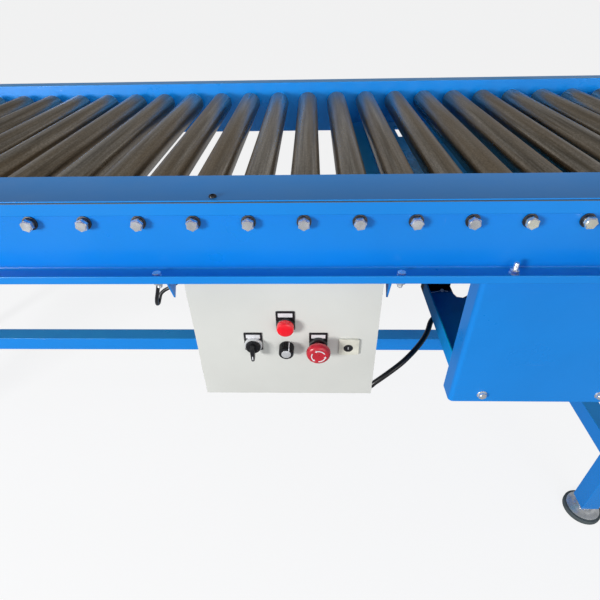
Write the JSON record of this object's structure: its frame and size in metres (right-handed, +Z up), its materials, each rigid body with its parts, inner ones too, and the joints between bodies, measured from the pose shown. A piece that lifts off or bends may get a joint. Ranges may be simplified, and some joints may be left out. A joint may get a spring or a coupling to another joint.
{
  "type": "powered roller conveyor",
  "caption": "Straight chain-driven roller conveyor bed on levelling legs, with a side control box and a gearmotor hung under the rollers.",
  "frame": {"origin": "on the floor, under the middle of the bed", "axes": "+X along the conveyor, +Y away from the control box across the bed, +Z up"},
  "size_m": [2.13, 0.79, 0.841],
  "materials": {
    "blue_paint": "gloss powder coat",
    "cream_paint": "fine textured powder coat",
    "roller_steel": "worn and lightly rusted tube",
    "zinc_plate": "zinc plated",
    "chain_steel": "oiled dark steel",
    "motor_grey": "semi-gloss",
    "black_plastic": "moulded",
    "red_plastic": "moulded"
  },
  "bodies": {
    "conveyor_frame": {"near_side_frame": "blue_paint", "far_side_frame": "blue_paint", "chain_cover": "blue_paint", "cross_tie": "blue_paint", "under_pan": "blue_paint", "left_near_leg": "blue_paint", "left_far_leg": "blue_paint", "right_near_leg": "blue_paint", "right_far_leg": "blue_paint", "left_leg_cross_member": "blue_paint", "right_leg_cross_member": "blue_paint", "lower_rail": "blue_paint", "box_bracket": "blue_paint", "drive_cover": "blue_paint", "motor_base": "blue_paint", "bed_chain": "chain_steel", "drive_chain": "chain_steel", "gearmotor": "motor_grey", "power_cable": "black_plastic", "signal_cable": "black_plastic", "control_box": "cream_paint"},
    "roller_01_body": {"roller_01": "roller_steel"},
    "roller_02_body": {"roller_02": "roller_steel"},
    "roller_03_body": {"roller_03": "roller_steel"},
    "roller_04_body": {"roller_04": "roller_steel"},
    "roller_05_body": {"roller_05": "roller_steel"},
    "roller_06_body": {"roller_06": "roller_steel"},
    "roller_07_body": {"roller_07": "roller_steel"},
    "roller_08_body": {"roller_08": "roller_steel"},
    "roller_09_body": {"roller_09": "roller_steel"},
    "roller_10_body": {"roller_10": "roller_steel"},
    "roller_11_body": {"roller_11": "roller_steel"},
    "roller_12_body": {"roller_12": "roller_steel"},
    "roller_13_body": {"roller_13": "roller_steel"},
    "roller_14_body": {"roller_14": "roller_steel"},
    "roller_15_body": {"roller_15": "roller_steel"},
    "roller_16_body": {"roller_16": "roller_steel"},
    "roller_17_body": {"roller_17": "roller_steel"},
    "roller_18_body": {"roller_18": "roller_steel"},
    "roller_19_body": {"roller_19": "roller_steel"},
    "roller_20_body": {"roller_20": "roller_steel"},
    "roller_21_body": {"roller_21": "roller_steel"},
    "roller_22_body": {"roller_22": "roller_steel"},
    "roller_23_body": {"roller_23": "roller_steel"},
    "roller_24_body": {"roller_24": "roller_steel"},
    "roller_25_body": {"roller_25": "roller_steel"},
    "roller_26_body": {"roller_26": "roller_steel"},
    "roller_27_body": {"roller_27": "roller_steel"},
    "roller_28_body": {"roller_28": "roller_steel"},
    "motor_sprocket_body": {"motor_sprocket": "chain_steel"},
    "door": {"control_door": "cream_paint", "pilot_lamp": "red_plastic"},
    "lock": {"door_lock": "zinc_plate"},
    "selector": {"selector_switch": "black_plastic"},
    "speed": {"speed_knob": "black_plastic"},
    "emergency_stop": {"emergency_stop_button": "red_plastic"},
    "left_near_foot_body": {"left_near_foot": "zinc_plate"},
    "left_far_foot_body": {"left_far_foot": "zinc_plate"},
    "right_near_foot_body": {"right_near_foot": "zinc_plate"},
    "right_far_foot_body": {"right_far_foot": "zinc_plate"}
  },
  "joints": [
    {"name": "roller_01_spin", "type": "hinge", "parent": "conveyor_frame", "child": "roller_01_body", "pos_m": [-1.0125, 0, 0.7957], "axis": [0, 1, 0], "continuous": true},
    {"name": "roller_02_spin", "type": "hinge", "parent": "conveyor_frame", "child": "roller_02_body", "pos_m": [-0.9375, 0, 0.7957], "axis": [0, 1, 0], "continuous": true},
    {"name": "roller_03_spin", "type": "hinge", "parent": "conveyor_frame", "child": "roller_03_body", "pos_m": [-0.8625, 0, 0.7957], "axis": [0, 1, 0], "continuous": true},
    {"name": "roller_04_spin", "type": "hinge", "parent": "conveyor_frame", "child": "roller_04_body", "pos_m": [-0.7875, 0, 0.7957], "axis": [0, 1, 0], "continuous": true},
    {"name": "roller_05_spin", "type": "hinge", "parent": "conveyor_frame", "child": "roller_05_body", "pos_m": [-0.7125, 0, 0.7957], "axis": [0, 1, 0], "continuous": true},
    {"name": "roller_06_spin", "type": "hinge", "parent": "conveyor_frame", "child": "roller_06_body", "pos_m": [-0.6375, 0, 0.7957], "axis": [0, 1, 0], "continuous": true},
    {"name": "roller_07_spin", "type": "hinge", "parent": "conveyor_frame", "child": "roller_07_body", "pos_m": [-0.5625, 0, 0.7957], "axis": [0, 1, 0], "continuous": true},
    {"name": "roller_08_spin", "type": "hinge", "parent": "conveyor_frame", "child": "roller_08_body", "pos_m": [-0.4875, 0, 0.7957], "axis": [0, 1, 0], "continuous": true},
    {"name": "roller_09_spin", "type": "hinge", "parent": "conveyor_frame", "child": "roller_09_body", "pos_m": [-0.4125, 0, 0.7957], "axis": [0, 1, 0], "continuous": true},
    {"name": "roller_10_spin", "type": "hinge", "parent": "conveyor_frame", "child": "roller_10_body", "pos_m": [-0.3375, 0, 0.7957], "axis": [0, 1, 0], "continuous": true},
    {"name": "roller_11_spin", "type": "hinge", "parent": "conveyor_frame", "child": "roller_11_body", "pos_m": [-0.2625, 0, 0.7957], "axis": [0, 1, 0], "continuous": true},
    {"name": "roller_12_spin", "type": "hinge", "parent": "conveyor_frame", "child": "roller_12_body", "pos_m": [-0.1875, 0, 0.7957], "axis": [0, 1, 0], "continuous": true},
    {"name": "roller_13_spin", "type": "hinge", "parent": "conveyor_frame", "child": "roller_13_body", "pos_m": [-0.1125, 0, 0.7957], "axis": [0, 1, 0], "continuous": true},
    {"name": "roller_14_spin", "type": "hinge", "parent": "conveyor_frame", "child": "roller_14_body", "pos_m": [-0.0375, 0, 0.7957], "axis": [0, 1, 0], "continuous": true},
    {"name": "roller_15_spin", "type": "hinge", "parent": "conveyor_frame", "child": "roller_15_body", "pos_m": [0.0375, 0, 0.7957], "axis": [0, 1, 0], "continuous": true},
    {"name": "roller_16_spin", "type": "hinge", "parent": "conveyor_frame", "child": "roller_16_body", "pos_m": [0.1125, 0, 0.7957], "axis": [0, 1, 0], "continuous": true},
    {"name": "roller_17_spin", "type": "hinge", "parent": "conveyor_frame", "child": "roller_17_body", "pos_m": [0.1875, 0, 0.7957], "axis": [0, 1, 0], "continuous": true},
    {"name": "roller_18_spin", "type": "hinge", "parent": "conveyor_frame", "child": "roller_18_body", "pos_m": [0.2625, 0, 0.7957], "axis": [0, 1, 0], "continuous": true},
    {"name": "roller_19_spin", "type": "hinge", "parent": "conveyor_frame", "child": "roller_19_body", "pos_m": [0.3375, 0, 0.7957], "axis": [0, 1, 0], "continuous": true},
    {"name": "roller_20_spin", "type": "hinge", "parent": "conveyor_frame", "child": "roller_20_body", "pos_m": [0.4125, 0, 0.7957], "axis": [0, 1, 0], "continuous": true},
    {"name": "roller_21_spin", "type": "hinge", "parent": "conveyor_frame", "child": "roller_21_body", "pos_m": [0.4875, 0, 0.7957], "axis": [0, 1, 0], "continuous": true},
    {"name": "roller_22_spin", "type": "hinge", "parent": "conveyor_frame", "child": "roller_22_body", "pos_m": [0.5625, 0, 0.7957], "axis": [0, 1, 0], "continuous": true},
    {"name": "roller_23_spin", "type": "hinge", "parent": "conveyor_frame", "child": "roller_23_body", "pos_m": [0.6375, 0, 0.7957], "axis": [0, 1, 0], "continuous": true},
    {"name": "roller_24_spin", "type": "hinge", "parent": "conveyor_frame", "child": "roller_24_body", "pos_m": [0.7125, 0, 0.7957], "axis": [0, 1, 0], "continuous": true},
    {"name": "roller_25_spin", "type": "hinge", "parent": "conveyor_frame", "child": "roller_25_body", "pos_m": [0.7875, 0, 0.7957], "axis": [0, 1, 0], "continuous": true},
    {"name": "roller_26_spin", "type": "hinge", "parent": "conveyor_frame", "child": "roller_26_body", "pos_m": [0.8625, 0, 0.7957], "axis": [0, 1, 0], "continuous": true},
    {"name": "roller_27_spin", "type": "hinge", "parent": "conveyor_frame", "child": "roller_27_body", "pos_m": [0.9375, 0, 0.7957], "axis": [0, 1, 0], "continuous": true},
    {"name": "roller_28_spin", "type": "hinge", "parent": "conveyor_frame", "child": "roller_28_body", "pos_m": [1.0125, 0, 0.7957], "axis": [0, 1, 0], "continuous": true},
    {"name": "motor_sprocket_spin", "type": "hinge", "parent": "conveyor_frame", "child": "motor_sprocket_body", "pos_m": [0.7125, 0, 0.5457], "axis": [0, 1, 0], "continuous": true},
    {"name": "door_swing", "type": "hinge", "parent": "conveyor_frame", "child": "door", "pos_m": [0.0775, -0.3396, 0.5697], "axis": [0, 0, -1], "range_deg": [0, 95]},
    {"name": "lock_turn", "type": "hinge", "parent": "door", "child": "lock", "pos_m": [0.3334, -0.3546, 0.5622], "axis": [0, 1, 0], "range_deg": [-90, 0]},
    {"name": "selector_turn", "type": "hinge", "parent": "door", "child": "selector", "pos_m": [0.176, -0.3546, 0.5692], "axis": [0, 1, 0], "range_deg": [-45, 45]},
    {"name": "speed_turn", "type": "hinge", "parent": "door", "child": "speed", "pos_m": [0.2308, -0.3546, 0.5617], "axis": [0, 1, 0], "range_deg": [-150, 150]},
    {"name": "emergency_stop_press", "type": "slide", "parent": "door", "child": "emergency_stop", "axis": [0, 1, 0], "range_m": [0, 0.004], "stiffness_N_per_m": 1500},
    {"name": "left_near_foot_adjust", "type": "slide", "parent": "conveyor_frame", "child": "left_near_foot_body", "axis": [0, 0, -1], "range_m": [0, 0.03]},
    {"name": "left_far_foot_adjust", "type": "slide", "parent": "conveyor_frame", "child": "left_far_foot_body", "axis": [0, 0, -1], "range_m": [0, 0.03]},
    {"name": "right_near_foot_adjust", "type": "slide", "parent": "conveyor_frame", "child": "right_near_foot_body", "axis": [0, 0, -1], "range_m": [0, 0.03]},
    {"name": "right_far_foot_adjust", "type": "slide", "parent": "conveyor_frame", "child": "right_far_foot_body", "axis": [0, 0, -1], "range_m": [0, 0.03]}
  ],
  "couplings": [
    {"joint": "roller_01_spin", "follows": "motor_sprocket_spin", "ratio": 1},
    {"joint": "roller_02_spin", "follows": "motor_sprocket_spin", "ratio": 1},
    {"joint": "roller_03_spin", "follows": "motor_sprocket_spin", "ratio": 1},
    {"joint": "roller_04_spin", "follows": "motor_sprocket_spin", "ratio": 1},
    {"joint": "roller_05_spin", "follows": "motor_sprocket_spin", "ratio": 1},
    {"joint": "roller_06_spin", "follows": "motor_sprocket_spin", "ratio": 1},
    {"joint": "roller_07_spin", "follows": "motor_sprocket_spin", "ratio": 1},
    {"joint": "roller_08_spin", "follows": "motor_sprocket_spin", "ratio": 1},
    {"joint": "roller_09_spin", "follows": "motor_sprocket_spin", "ratio": 1},
    {"joint": "roller_10_spin", "follows": "motor_sprocket_spin", "ratio": 1},
    {"joint": "roller_11_spin", "follows": "motor_sprocket_spin", "ratio": 1},
    {"joint": "roller_12_spin", "follows": "motor_sprocket_spin", "ratio": 1},
    {"joint": "roller_13_spin", "follows": "motor_sprocket_spin", "ratio": 1},
    {"joint": "roller_14_spin", "follows": "motor_sprocket_spin", "ratio": 1},
    {"joint": "roller_15_spin", "follows": "motor_sprocket_spin", "ratio": 1},
    {"joint": "roller_16_spin", "follows": "motor_sprocket_spin", "ratio": 1},
    {"joint": "roller_17_spin", "follows": "motor_sprocket_spin", "ratio": 1},
    {"joint": "roller_18_spin", "follows": "motor_sprocket_spin", "ratio": 1},
    {"joint": "roller_19_spin", "follows": "motor_sprocket_spin", "ratio": 1},
    {"joint": "roller_20_spin", "follows": "motor_sprocket_spin", "ratio": 1},
    {"joint": "roller_21_spin", "follows": "motor_sprocket_spin", "ratio": 1},
    {"joint": "roller_22_spin", "follows": "motor_sprocket_spin", "ratio": 1},
    {"joint": "roller_23_spin", "follows": "motor_sprocket_spin", "ratio": 1},
    {"joint": "roller_24_spin", "follows": "motor_sprocket_spin", "ratio": 1},
    {"joint": "roller_25_spin", "follows": "motor_sprocket_spin", "ratio": 1},
    {"joint": "roller_26_spin", "follows": "motor_sprocket_spin", "ratio": 1},
    {"joint": "roller_27_spin", "follows": "motor_sprocket_spin", "ratio": 1},
    {"joint": "roller_28_spin", "follows": "motor_sprocket_spin", "ratio": 1}
  ]
}
